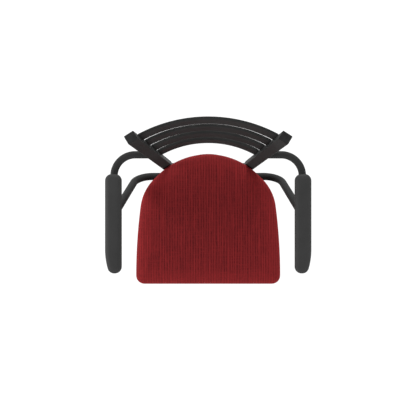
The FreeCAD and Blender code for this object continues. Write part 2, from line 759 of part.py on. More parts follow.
def cushionLevels():
    """Rise, inset and corner radius of the cushion's outlines from its drawn-in foot to its crown."""
    corner = amountOf("seatCornerRadius")
    drawIn = amountOf("cushionDrawIn")
    widest = amountOf("cushionWidestRise")
    rollRise = amountOf("cushionRollRise")
    rollInset = amountOf("cushionRollInset")
    topRise = amountOf("cushionHeight")
    topInset = amountOf("cushionTopInset")
    levels = []
    for step in range(sideSteps):
        share = step / sideSteps
        inset = drawIn * (1 - math.sin(share * math.pi / 2))
        levels.append((widest * share, inset, corner - inset))
    for step in range(rollSteps):
        turn = step / rollSteps * math.pi / 2
        rise = widest + (rollRise - widest) * math.sin(turn)
        levels.append((rise, rollInset * (1 - math.cos(turn)), corner))
    for step in range(crownSteps + 1):
        share = step / crownSteps
        rise = topRise - (topRise - rollRise) * (1 - share) ** 2
        levels.append((rise, rollInset + (topInset - rollInset) * share, corner))
    return levels


outlines = [seatOutline(inset, corner, boardBottom + rise) for rise, inset, corner in cushionLevels()]
boardRoom = seatSlab(amountOf("boardInset - boardClearance"), boardBottom - overrun, boardThickness + overrun)
cushion = doc.addObject("Part::Feature", "Cushion")
cushion.Shape = Part.makeLoft(outlines, True, True).cut(boardRoom)
keep(cushion, "seat_cushion")


def panScrew(spot, headTop, end):
    """A pan-head screw that points up from under its seat."""
    shank = Part.makeCylinder(amountOf("screwDiameter") / 2, end - headTop, Vector(spot.x, spot.y, headTop))
    headHeight = amountOf("screwHeadHeight")
    below = Vector(spot.x, spot.y, headTop - headHeight)
    head = Part.makeCylinder(amountOf("screwHeadDiameter") / 2, headHeight, below)
    rim = [edge for edge in head.Edges if edge.Closed and edge.BoundBox.Center.z < headTop - headHeight / 2]
    return shank.fuse(head.makeFillet(amountOf("screwHeadRounding"), rim)).removeSplitter()


group("seat_screws", [panScrew(spot, amountOf("spokeBottom"), screwTop) for spot in seatScrewSpots])

# Back: two leaning square uprights with end caps, and curved slats welded between them.
uprightTop = amountOf("seatHeight + uprightRise")
slatTools = []
for side, sideName in sideNames.items():
    frame = uprightFrame(side)
    rising = frame.Rotation.multVec(Vector(0, 0, 1))
    below = (frame.Base.z - amountOf("hubBottom")) / rising.z
    above = (uprightTop - frame.Base.z) / rising.z
    foot = frame * at(0, 0, -below)
    length = str(below + above)
    tubeName = "Upright_" + sideName
    tube = squareTube(tubeName, foot, "uprightWidth", "uprightDepth", length, "uprightCorner")
    keep(tube, "upright_" + sideName)
    capFrame = frame * at(0, 0, above)
    capCorner = amountOf("uprightCorner")
    lidName = "CapLid_" + sideName
    lid = roundedBox(lidName, capFrame, "uprightWidth", "uprightDepth", "capThickness", capCorner)
    stemFrame = frame * at(0, 0, above - amountOf("plugDepth"))
    stemWidth = "uprightWidth - 2 * tubeWall - 2 * plugClearance"
    stemDepth = "uprightDepth - 2 * tubeWall - 2 * plugClearance"
    stemCorner = amountOf("uprightCorner - tubeWall")
    stem = roundedBox("CapStem_" + sideName, stemFrame, stemWidth, stemDepth, "plugDepth", stemCorner)
    keep(fuse("UprightCap_" + sideName, [lid, stem]), "upright_cap_" + sideName)
    inner = amountOf("uprightWidth") / 2
    cornerX = -inner if side > 0 else inner - 2 * cutterReach
    beyond = Vector(cornerX, -cutterReach, -cutterReach)
    slatTools.append(halfSpace("SlatEnd_" + sideName, frame, beyond))
slatEnds = fuse("SlatEnds", slatTools)


slatCount = int(amountOf("slatCount"))
slatNames = ["bottom", "lower", "upper", "top"]
bottomSlat = amountOf("seatHeight + slatFirstRise")
topSlat = bottomSlat + (slatCount - 1) * amountOf("slatPitch")


def slatOutline(name, height, inset):
    """A slat's bent outline at a height, from upright to upright and drawn in by an inset."""
    frame = uprightFrame(1)
    rising = frame.Rotation.multVec(Vector(0, 0, 1))
    rearCorner = Vector(-amountOf("uprightWidth") / 2, amountOf("uprightDepth / 2 + slatProud"), 0)
    end = frame.multVec(rearCorner)
    end = end + rising * ((height - end.z) / rising.z)
    share = (height - bottomSlat) / (topSlat - bottomSlat)
    sagitta = amountOf("slatBottomSagitta") * (1 - share) + amountOf("slatTopSagitta") * share
    radius = (end.x**2 + sagitta**2) / (2 * sagitta)
    halfAngle = math.degrees(math.asin(end.x / radius)) + amountOf("uprightFan")
    centre = Vector(0, end.y + sagitta - radius, height)
    heading = turned(-halfAngle).multVec(Vector(0, 1, 0))
    outer = radius - inset
    inner = radius - amountOf("slatThickness") + inset
    outerEnd = centre + heading * outer
    innerEnd = centre + heading * inner
    outline = doc.addObject("Part::Feature", name)
    outline.Shape = Part.Wire([
        arcBetween(centre, outer, mirrored(outerEnd), outerEnd),
        lineBetween(outerEnd, innerEnd),
        arcBetween(centre, inner, innerEnd, mirrored(innerEnd)),
        lineBetween(mirrored(innerEnd), mirrored(outerEnd)),
    ])
    return outline


def bentStrip(name, height, inset):
    """A bent strip of the slat's section, drawn in by an inset, that slopes as the uprights do."""
    reach = amountOf("slatHeight") / 2 - inset
    strip = doc.addObject("Part::Loft", name)
    low = slatOutline(name + "Low", height - reach, inset)
    high = slatOutline(name + "High", height + reach, inset)
    strip.Sections = [low, high]
    strip.Solid = True
    strip.Ruled = True
    return strip


for step in range(slatCount):
    height = bottomSlat + step * amountOf("slatPitch")
    name = slatNames[step] if slatCount == len(slatNames) else str(step + 1)
    strip = bentStrip("SlatStrip_" + name, height, 0)
    rounded = roundEdges("SlatRounded_" + name, strip, amountOf("slatEdgeRadius"), isBent)
    bore = bentStrip("SlatBore_" + name, height, amountOf("slatWall"))
    keep(cut("Slat_" + name, rounded, fuse("SlatTools_" + name, [slatEnds, bore])), "back_slat_" + name)

# Arms: a tube from each upright bends forward under its pad, and a strut from below meets it.
armHeight = amountOf("armHeight")
armX = amountOf("armSpan") / 2
armRadius = amountOf("armTube") / 2
armScrews = []
tubePlugs = []


def padOutline(side, rear, inset, height):
    """The arm pad's outline drawn in by an inset: rounded ends, with the outer side tapered to the front."""
    rearCorner = amountOf("armPadRearCorner") - inset
    frontCorner = amountOf("armPadFrontCorner") - inset
    taper = amountOf("armPadTaperRadius") - inset
    half = amountOf("armPadWidth") / 2 - inset
    back = rear - inset
    front = rear - amountOf("armPadLength") + inset
    taperStart = Vector(half, rear - amountOf("armPadStraight"), 0)
    taperCentre = taperStart - Vector(taper, 0, 0)
    noseY = front + frontCorner
    noseX = taperCentre.x + math.sqrt((taper - frontCorner) ** 2 - (taperCentre.y - noseY) ** 2)
    nose = Vector(noseX, noseY, 0)
    taperEnd = taperCentre + (nose - taperCentre).normalize() * taper
    noseEnd = Vector(noseX, front, 0)
    heel = Vector(frontCorner - half, noseY, 0)
    heelStart = Vector(heel.x, front, 0)
    heelEnd = Vector(-half, noseY, 0)
    innerRear = Vector(rearCorner - half, back - rearCorner, 0)
    outerRear = mirrored(innerRear)
    innerRearStart = Vector(-half, innerRear.y, 0)
    innerRearEnd = Vector(innerRear.x, back, 0)
    wire = Part.Wire([
        arcBetween(outerRear, rearCorner, mirrored(innerRearEnd), mirrored(innerRearStart)),
        lineBetween(mirrored(innerRearStart), taperStart),
        arcBetween(taperCentre, taper, taperStart, taperEnd),
        arcBetween(nose, frontCorner, taperEnd, noseEnd),
        lineBetween(noseEnd, heelStart),
        arcBetween(heel, frontCorner, heelStart, heelEnd),
        lineBetween(heelEnd, innerRearStart),
        arcBetween(innerRear, rearCorner, innerRearStart, innerRearEnd),
        lineBetween(innerRearEnd, mirrored(innerRearEnd)),
    ])
    if side < 0:
        wire = wire.mirror(Vector(), Vector(1, 0, 0))
    wire.translate(Vector(side * armX, 0, height))
    return wire


for side, sideName in sideNames.items():
    outward = amountOf("uprightWidth") / 2 * side
    root = uprightSide(side, outward, armHeight)
    rear = root.y - amountOf("armBendRadius") + amountOf("armPadLap")
    tubeEnd = rear - amountOf("armPadLength - armPadTubeStop")
    armStart = Vector(0, root.y, armHeight)
    toSide = Vector(side, 0, 0)
    armFrame = frameOf(armStart, toSide, Vector(0, 0, -side))
    secondRun = root.y - tubeEnd
    pipe = bentTube("ArmPipe_" + sideName, armFrame, "armTube", "armBendRadius", armX, secondRun, quarterTurn)
    cornerX = outward - 2 * cutterReach if side > 0 else outward
    weldCorner = Vector(cornerX, -cutterReach, -cutterReach)
    weldFace = halfSpace("ArmWeldFace_" + sideName, uprightFrame(side), weldCorner)
    screwYs = [rear - amountOf("armScrewRear"), rear - amountOf("armScrewFront")]
    screwSpots = [Vector(side * armX, y, 0) for y in screwYs]
    drillBottom = armHeight - armRadius - overrun
    holes = [
        screwHoleAt(f"ArmScrewHole_{sideName}_{step}", spot, drillBottom, f"armTube + {2 * overrun}")
        for step, spot in enumerate(screwSpots)
    ]
    armTools = fuse("ArmTools_" + sideName, [weldFace] + holes)
    keep(cut("ArmTube_" + sideName, pipe, armTools), "arm_tube_" + sideName)

    forward = Rotation(Vector(1, 0, 0), quarterTurn)
    plugFace = Placement(Vector(side * armX, tubeEnd, armHeight), forward)
    plugHead = cylinder("ArmPlugHead_" + sideName, plugFace, "armTube", "plugHead")
    stemFace = Placement(Vector(side * armX, tubeEnd + amountOf("plugDepth"), armHeight), forward)
    stemDiameter = "armTube - 2 * tubeWall - 2 * plugClearance"
    plugStem = cylinder("ArmPlugStem_" + sideName, stemFace, stemDiameter, "plugDepth")
    tubePlugs.append(fuse("ArmPlug_" + sideName, [plugHead, plugStem]))

    padLevels = [
        (0, amountOf("armPadDrawIn")),
        (amountOf("armPadWidestRise"), 0),
        (amountOf("armPadEdgeRise"), amountOf("armPadEdgeInset")),
        (amountOf("armPadRollRise"), amountOf("armPadRollInset")),
        (amountOf("armPadThickness"), amountOf("armPadTopInset")),
    ]
    padWires = [padOutline(side, rear, inset, armHeight + rise) for rise, inset in padLevels]
    channelFront = tubeEnd - amountOf("plugHead + armPadChannelGap")
    channelStart = Vector(side * armX, channelFront, armHeight)
    channelLength = rear - channelFront + overrun
    channelRadius = armRadius + amountOf("armPadChannelGap")
    channel = Part.makeCylinder(channelRadius, channelLength, channelStart, Vector(0, 1, 0))
    padScrewTop = armHeight + armRadius + amountOf("armScrewBite")
    bores = [
        Part.makeCylinder(screwHoleRadius, padScrewTop - armHeight, Vector(spot.x, spot.y, armHeight))
        for spot in screwSpots
    ]
    pad = doc.addObject("Part::Feature", "ArmPad_" + sideName)
    pad.Shape = Part.makeLoft(padWires, True, False).cut([channel] + bores)
    keep(pad, "arm_pad_" + sideName)
    screwEnd = padScrewTop - amountOf("screwClearance")
    armScrews += [panScrew(spot, armHeight - armRadius, screwEnd) for spot in screwSpots]

    strutStart = Vector(0, amountOf("strutBack"), spokeMiddle)
    strutCorner = Vector(side * amountOf("strutReach"), amountOf("strutBack"), spokeMiddle)
    strutEnd = Vector(side * armX, rear - amountOf("strutMeet"), armHeight)
    heading = strutEnd - strutCorner
    turn = math.degrees(heading.getAngle(toSide))
    strutFrame = frameOf(strutStart, toSide, toSide.cross(heading).normalize())
    strutPipe = bentTube(
        "StrutPipe_" + sideName,
        strutFrame,
        "strutTube",
        "strutBendRadius",
        amountOf("strutReach"),
        heading.Length,
        turn,
    )
    spokeAngle = spokeAngles["rear_" + sideName]
    spokePlane = spokeFrame(spokeAngle, 0)
    spokeHalf = amountOf("spokeSize") / 2
    cornerX = spokeHalf - 2 * cutterReach if side > 0 else -spokeHalf
    spokeFace = halfSpace("StrutFoot_" + sideName, spokePlane, Vector(cornerX, -cutterReach, -cutterReach))
    saddleFace = Placement(Vector(side * armX, tubeEnd, armHeight), Rotation(Vector(1, 0, 0), -quarterTurn))
    saddle = cylinder("StrutSaddle_" + sideName, saddleFace, "armTube + 2 * strutWeldGap", "armPadLength")
    underPad = armHeight - amountOf("strutWeldGap")
    abovePad = levelSlab("StrutTop_" + sideName, underPad, armHeight + cutterReach)
    strutTools = fuse("StrutTools_" + sideName, [spokeFace, saddle, abovePad])
    keep(cut("Strut_" + sideName, strutPipe, strutTools), "arm_strut_" + sideName)

group("arm_pad_screws", armScrews)
armPlugs = doc.addObject("Part::Compound", "ArmTubePlugs")
armPlugs.Links = tubePlugs
keep(armPlugs, "arm_tube_plugs")

doc.recompute()
for item in doc.Objects:
    if "Invalid" in item.State or "Error" in item.State:
        raise RuntimeError(f"{item.Label} failed: {item.State}")
for label, item in pieces.items():
    if item.Shape.isNull() or not item.Shape.isValid() or not item.Shape.Solids:
        raise RuntimeError(f"{label} has no valid solid")
os.makedirs("parts", exist_ok=True)
for label, item in pieces.items():
    item.Shape.exportStep(f"parts/{label}.step")
    print(label, len(item.Shape.Solids), round(item.Shape.Volume / 1000, 2), "cm3")
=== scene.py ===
import json
import math

import bpy
import numpy as np
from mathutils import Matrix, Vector


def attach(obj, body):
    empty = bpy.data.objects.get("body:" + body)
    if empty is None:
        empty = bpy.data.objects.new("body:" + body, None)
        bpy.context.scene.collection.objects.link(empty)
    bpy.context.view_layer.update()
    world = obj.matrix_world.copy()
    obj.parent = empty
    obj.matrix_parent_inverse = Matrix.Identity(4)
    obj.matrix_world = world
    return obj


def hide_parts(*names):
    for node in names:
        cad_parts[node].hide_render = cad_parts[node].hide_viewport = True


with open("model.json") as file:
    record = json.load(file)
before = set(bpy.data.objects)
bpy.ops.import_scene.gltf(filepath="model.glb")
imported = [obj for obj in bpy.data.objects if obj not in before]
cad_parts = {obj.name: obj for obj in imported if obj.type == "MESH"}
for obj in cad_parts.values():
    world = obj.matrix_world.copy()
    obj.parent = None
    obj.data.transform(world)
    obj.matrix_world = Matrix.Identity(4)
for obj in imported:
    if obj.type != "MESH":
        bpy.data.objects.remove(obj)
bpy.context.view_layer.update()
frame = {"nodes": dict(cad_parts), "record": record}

scene = bpy.context.scene
scene.view_settings.view_transform = "Standard"
nodes = frame["nodes"]
print("frame loaded:", len(nodes), "nodes")


# mesh helpers
def newPiece(name, points, faces, smooth=True):
    mesh = bpy.data.meshes.new(name)
    mesh.from_pydata(points.tolist(), [], faces.tolist() if isinstance(faces, np.ndarray) else faces)
    mesh.polygons.foreach_set("use_smooth", np.full(len(mesh.polygons), smooth))
    mesh.update()
    piece = bpy.data.objects.new(name, mesh)
    scene.collection.objects.link(piece)
    return piece


def quadsOf(index):  # the four corners of each cell in a grid of point numbers
    corners = [index[:-1, :-1], index[:-1, 1:], index[1:, 1:], index[1:, :-1]]
    return np.stack(corners, axis=-1).reshape(-1, 4)


def ringFaces(rows, columns):  # quads between neighbouring rings of points, closed round each ring
    index = np.arange(rows * columns).reshape(rows, columns)
    return quadsOf(np.concatenate([index, index[:, :1]], axis=1))


def readPoints(mesh):
    flat = np.empty(len(mesh.vertices) * 3, np.float32)
    mesh.vertices.foreach_get("co", flat)
    return flat.reshape(-1, 3).astype(float)


def writePoints(mesh, points):
    mesh.vertices.foreach_set("co", points.astype(np.float32).ravel())
    mesh.update()


def addVectors(mesh, name, vectors):  # one vector for each point, read by a material's Attribute node
    layer = mesh.attributes.new(name, "FLOAT_VECTOR", "POINT")
    layer.data.foreach_set("vector", vectors.astype(np.float32).ravel())


def subdivide(piece, levels=1):
    step = piece.modifiers.new("Smooth", "SUBSURF")
    step.levels = levels
    step.render_levels = levels


# material helpers
class Finish:
    def __init__(self, name, **sockets):
        self.material = bpy.data.materials.new(name)
        self.material.use_nodes = True
        self.tree = self.material.node_tree
        self.shader = self.tree.nodes["Principled BSDF"]
        for socket, value in sockets.items():
            self.shader.inputs[socket.replace("_", " ")].default_value = value

    def node(self, kind, inputs=None, **settings):
        made = self.tree.nodes.new(kind)
        for setting, value in settings.items():
            setattr(made, setting, value)
        for socket, value in (inputs or {}).items():
            if isinstance(value, bpy.types.NodeSocket):
                self.tree.links.new(value, made.inputs[socket])
            else:
                made.inputs[socket].default_value = value
        return made

    def place(self, scale=(1, 1, 1), turn=(0, 0, 0), source=None):
        start = source or self.node("ShaderNodeTexCoord").outputs["Object"]
        return self.node("ShaderNodeMapping", {"Vector": start, "Scale": scale, "Rotation": turn}).outputs[0]

    def noise(self, where, scale, detail=3.0, roughness=0.5):
        inputs = {"Vector": where, "Scale": scale, "Detail": detail, "Roughness": roughness}
        return self.node("ShaderNodeTexNoise", inputs).outputs["Fac"]

    def math(self, operation, first, second=0.0, third=0.0):
        inputs = {0: first, 1: second, 2: third}
        return self.node("ShaderNodeMath", inputs, operation=operation).outputs[0]

    def span(self, value, low, high, toLow=0.0, toHigh=1.0):
        inputs = {"Value": value, "From Min": low, "From Max": high, "To Min": toLow, "To Max": toHigh}
        return self.node("ShaderNodeMapRange", inputs).outputs[0]

    def mix(self, share, first, second):
        made = self.node("ShaderNodeMix", {"Factor": share}, data_type="RGBA")
        for socket, value in (("A", first), ("B", second)):
            target = next(i for i in made.inputs if i.name == socket and i.type == "RGBA")
            if isinstance(value, bpy.types.NodeSocket):
                self.tree.links.new(value, target)
            else:
                target.default_value = (*value, 1)
        return next(o for o in made.outputs if o.type == "RGBA")

    def bump(self, height, strength, distance, normal=None):
        inputs = {"Height": height, "Strength": strength, "Distance": distance}
        if normal:
            inputs["Normal"] = normal
        return self.node("ShaderNodeBump", inputs).outputs[0]

    def feed(self, **sockets):
        for socket, value in sockets.items():
            self.tree.links.new(value, self.shader.inputs[socket.replace("_", " ")])
        return self.material


# camera: straight above the seat, with the back at the top of the picture
cameraAt = {"x": -0.0006, "y": -0.0031, "height": 3.10, "focalPixels": 736, "framePixels": 416, "sensor": 36.0}
cameraData = bpy.data.cameras.new("PlanCamera")
cameraData.sensor_width = cameraAt["sensor"]
cameraData.lens = cameraAt["sensor"] * cameraAt["focalPixels"] / cameraAt["framePixels"]
camera = bpy.data.objects.new("PlanCamera", cameraData)
camera.location = (cameraAt["x"], cameraAt["y"], cameraAt["height"])
scene.collection.objects.link(camera)
scene.camera = camera
print("camera at", cameraAt["height"], "m, lens", round(cameraData.lens, 1))


# floor, sky and lamps
studio = {"floorSize": 12.0, "floorShade": 0.86, "grainScale": 3.0, "grainLift": 0.03, "whiteShare": 0.80,
          "whiteGlow": 1.09, "skyStrength": 0.40}


def seenDirectly(finish):  # 1 for camera, mirror and see-through rays, 0 for light that fills the room
    path = finish.node("ShaderNodeLightPath")
    first = finish.math("MAXIMUM", path.outputs["Is Camera Ray"], path.outputs["Is Glossy Ray"])
    return finish.math("MAXIMUM", first, path.outputs["Is Transmission Ray"])


class Sky(Finish):
    def __init__(self, world):
        world.use_nodes = True
        self.tree = world.node_tree


def makeFloor():
    half = studio["floorSize"] / 2
    corners = np.array([[-half, -half, 0], [half, -half, 0], [half, half, 0], [-half, half, 0]])
    floor = newPiece("studio_floor", corners, np.array([[0, 1, 2, 3]]), smooth=False)
    finish = Finish("paleFloor", Roughness=0.9)
    shade = studio["floorShade"]
    pale = shade + studio["grainLift"]
    grain = finish.noise(finish.place(), studio["grainScale"])
    finish.feed(Base_Color=finish.mix(grain, (shade, shade, shade), (pale, pale, pale)))
    glow = {"Color": (1, 1, 1, 1), "Strength": studio["whiteGlow"]}
    white = finish.node("ShaderNodeEmission", glow).outputs[0]
    share = finish.math("MULTIPLY", seenDirectly(finish), studio["whiteShare"])
    inputs = {0: share, 1: finish.shader.outputs[0], 2: white}
    mixed = finish.node("ShaderNodeMixShader", inputs).outputs[0]
    finish.tree.links.new(mixed, finish.tree.nodes["Material Output"].inputs["Surface"])
    floor.data.materials.append(finish.material)


def makeSky():
    scene.world = bpy.data.worlds.new("StudioSky")
    sky = Sky(scene.world)
    direct = seenDirectly(sky)
    strength = sky.span(direct, 0.0, 1.0, studio["skyStrength"], 1.0)
    background = sky.tree.nodes["Background"]
    background.inputs["Color"].default_value = (1, 1, 1, 1)
    sky.tree.links.new(strength, background.inputs["Strength"])


lamps = {
    "keyLamp": {"at": (-2.2, -0.3, 2.2), "size": 1.6, "watts": 27},
    "fillLamp": {"at": (2.2, -0.4, 1.8), "size": 2.0, "watts": 22},
    "frontLamp": {"at": (0.0, -2.2, 2.4), "size": 1.8, "watts": 33},
    "backLamp": {"at": (0.2, 2.6, 1.4), "size": 1.4, "watts": 60},
    "leftLamp": {"at": (-2.5, 0.3, 1.2), "size": 1.4, "watts": 32},
}
lampTarget = Vector((0, 0, 0.8))


def makeLamps():
    for name, lamp in lamps.items():
        data = bpy.data.lights.new(name, "AREA")
        data.shape = "DISK"
        data.size = lamp["size"]
        data.energy = lamp["watts"]
        made = bpy.data.objects.new(name, data)
        made.location = lamp["at"]
        made.rotation_euler = (lampTarget - made.location).to_track_quat("-Z", "Y").to_euler()
        scene.collection.objects.link(made)


makeFloor()
makeSky()
makeLamps()
print("studio ready:", len(lamps), "lamps")


# finishes: noise scales are cells per metre, bumps are (strength, depth in metres)
paint = {"specular": 0.05, "cloudScale": 9.0, "peelScale": 950.0, "fleckScale": 2600.0, "wearScale": 55.0,
         "dark": (0.0210, 0.0214, 0.0212), "pale": (0.0272, 0.0276, 0.0273), "fleck": (0.042, 0.042, 0.041),
         "fleckShare": 0.35, "worn": (0.085, 0.083, 0.08), "wornShare": 0.6, "edgeRadius": 0.0016,
         "edgeSamples": 6, "bump": (0.10, 0.0003)}


def powderCoat():  # satin charcoal coat with fine orange peel, rubbed a little paler on its edges
    finish = Finish("powderCoat", Specular_IOR_Level=paint["specular"])
    here = finish.place()
    cloudy = finish.noise(here, paint["cloudScale"], 4.0)
    peel = finish.noise(here, paint["peelScale"], 2.0)
    fleck = finish.noise(here, paint["fleckScale"], 1.0)
    wear = finish.span(finish.noise(here, paint["wearScale"], 4.0), 0.40, 0.70)
    coat = finish.mix(finish.span(cloudy, 0.35, 0.65), paint["dark"], paint["pale"])
    coat = finish.mix(finish.span(fleck, 0.62, 0.8, 0.0, paint["fleckShare"]), coat, paint["fleck"])
    rounding = finish.node("ShaderNodeBevel", {"Radius": paint["edgeRadius"]}, samples=paint["edgeSamples"])
    softened = rounding.outputs[0]
    flat = finish.node("ShaderNodeNewGeometry").outputs["Normal"]
    facing = finish.node("ShaderNodeVectorMath", {0: softened, 1: flat}, operation="DOT_PRODUCT")
    worn = finish.math("MULTIPLY", finish.span(facing.outputs["Value"], 0.995, 0.90), wear)
    colour = finish.mix(finish.math("MULTIPLY", worn, paint["wornShare"]), coat, paint["worn"])
    rough = finish.span(cloudy, 0.3, 0.7, 0.50, 0.60)
    return finish.feed(Base_Color=colour, Roughness=rough, Normal=finish.bump(peel, *paint["bump"], softened))


skin = {"specular": 0.12, "cellScale": 780.0, "cloudScale": 14.0, "fineScale": 1500.0, "fineShare": 0.3,
        "dark": (0.0272, 0.0272, 0.0272), "pale": (0.035, 0.035, 0.035), "crease": (0.018, 0.018, 0.018),
        "creaseShare": 0.30, "bump": (0.14, 0.0004)}


def padSkin():  # moulded satin skin with a fine leather-like grain
    finish = Finish("padSkin", Specular_IOR_Level=skin["specular"])
    here = finish.place()
    pebbles = {"Vector": here, "Scale": skin["cellScale"]}
    cells = finish.node("ShaderNodeTexVoronoi", pebbles).outputs["Distance"]
    cloudy = finish.noise(here, skin["cloudScale"], 4.0)
    fine = finish.noise(here, skin["fineScale"], 2.0)
    colour = finish.mix(finish.span(cloudy, 0.3, 0.7), skin["dark"], skin["pale"])
    colour = finish.mix(finish.span(cells, 0.0, 0.35, skin["creaseShare"], 0.0), colour, skin["crease"])
    grain = finish.math("ADD", cells, finish.math("MULTIPLY", fine, skin["fineShare"]))
    rough = finish.span(cloudy, 0.3, 0.7, 0.56, 0.68)
    return finish.feed(Base_Color=colour, Roughness=rough, Normal=finish.bump(grain, *skin["bump"]))


nylon = {"specular": 0.15, "flowScale": 60.0, "sparkScale": 1700.0, "dark": (0.010, 0.010, 0.010),
         "pale": (0.017, 0.017, 0.017), "bump": (0.12, 0.0002)}


def blackNylon():  # moulded plugs, caps and glides with a faint flow pattern
    finish = Finish("blackNylon", Specular_IOR_Level=nylon["specular"])
    flow = finish.noise(finish.place((1, 1, 4)), nylon["flowScale"], 3.0)
    spark = finish.noise(finish.place(), nylon["sparkScale"], 2.0)
    colour = finish.mix(finish.span(flow, 0.3, 0.7), nylon["dark"], nylon["pale"])
    rough = finish.span(flow, 0.3, 0.7, 0.42, 0.58)
    return finish.feed(Base_Color=colour, Roughness=rough, Normal=finish.bump(spark, *nylon["bump"]))


zinc = {"drawnScale": 45.0, "patchScale": 24.0, "clean": (0.55, 0.55, 0.54), "dull": (0.40, 0.40, 0.41),
        "drawn": (0.30, 0.30, 0.30), "drawnShare": 0.25, "bump": (0.10, 0.0002)}


def zincPlate():  # zinc plated pressings with a drawn grain and a few dull patches
    finish = Finish("zincPlate", Metallic=1.0)
    drawn = finish.noise(finish.place((1, 40, 1)), zinc["drawnScale"], 4.0)
    patch = finish.noise(finish.place(), zinc["patchScale"], 5.0)
    colour = finish.mix(finish.span(patch, 0.35, 0.7), zinc["clean"], zinc["dull"])
    colour = finish.mix(finish.span(drawn, 0.3, 0.7, 0.0, zinc["drawnShare"]), colour, zinc["drawn"])
    rough = finish.span(patch, 0.3, 0.7, 0.28, 0.48)
    return finish.feed(Base_Color=colour, Roughness=rough, Normal=finish.bump(drawn, *zinc["bump"]))


balls = {"oilScale": 320.0, "bare": (0.66, 0.66, 0.66), "oiled": (0.52, 0.50, 0.46)}


def bearingSteel():  # polished balls with a trace of oil
    finish = Finish("bearingSteel", Metallic=1.0)
    oil = finish.noise(finish.place(), balls["oilScale"], 3.0)
    colour = finish.mix(finish.span(oil, 0.4, 0.7), balls["bare"], balls["oiled"])
    return finish.feed(Base_Color=colour, Roughness=finish.span(oil, 0.3, 0.7, 0.08, 0.22))


board = {"grainScale": 16.0, "plyScale": 76.0, "plyWaver": 0.4, "light": (0.56, 0.40, 0.24),
         "dark": (0.36, 0.23, 0.12), "glue": (0.30, 0.19, 0.10), "glueShare": 0.35, "bump": (0.25, 0.0005)}


def plywood():  # raw board: long grain on the faces, thin plies on the edge
    finish = Finish("plywood", Roughness=0.75)
    grain = finish.noise(finish.place((14, 1, 6)), board["grainScale"], 6.0, 0.6)
    layers = {"Vector": finish.place(), "Scale": board["plyScale"], "Distortion": board["plyWaver"]}
    plies = finish.node("ShaderNodeTexWave", layers, bands_direction="Z").outputs["Fac"]
    colour = finish.mix(finish.span(grain, 0.3, 0.75), board["light"], board["dark"])
    colour = finish.mix(finish.span(plies, 0.4, 0.6, 0.0, board["glueShare"]), colour, board["glue"])
    return finish.feed(Base_Color=colour, Normal=finish.bump(grain, *board["bump"]))


cover = {"dotScale": 520.0, "dotScatter": 0.15, "fibreScale": 420.0, "fibreShare": 0.6,
         "dark": (0.012, 0.012, 0.012), "pale": (0.035, 0.035, 0.035), "bump": (0.5, 0.0006)}


def dustCloth():  # thin black non-woven cloth with pressed dots and loose fibres
    finish = Finish("dustCloth", Roughness=0.95)
    grid = {"Vector": finish.place(), "Scale": cover["dotScale"], "Randomness": cover["dotScatter"]}
    dots = finish.node("ShaderNodeTexVoronoi", grid).outputs["Distance"]
    fibres = finish.noise(finish.place((1, 3, 1)), cover["fibreScale"], 6.0, 0.7)
    colour = finish.mix(finish.span(fibres, 0.35, 0.7), cover["dark"], cover["pale"])
    loose = finish.math("MULTIPLY", fibres, cover["fibreShare"])
    height = finish.math("ADD", finish.span(dots, 0.15, 0.4), loose)
    return finish.feed(Base_Color=colour, Normal=finish.bump(height, *cover["bump"]))


# the cloth's rim colour and its share paint a highlight on the seat's rolled edge, standing in for sheen and
# side light
weave = {"ribs": 121.0, "ribWander": 7.0, "wanderScale": 70.0, "ribDepth": 0.85, "ribHeight": 1.2,
         "streakScale": 270, "slubScale": 300.0, "crossScale": 310.0, "crossShare": 0.45, "threads": 900,
         "threadShare": 0.25, "deep": (0.046, 0.0038, 0.0050), "mid": (0.126, 0.0080, 0.0096),
         "bright": (0.209, 0.0136, 0.0150), "paintedRimLight": (0.30, 0.0200, 0.0220), "paintedRimShare": 0.14,
         "specular": 0.12, "nap": 0.35, "napSpread": 0.5, "napTint": (1.0, 0.075, 0.08, 1),
         "bump": (0.35, 0.0005)}


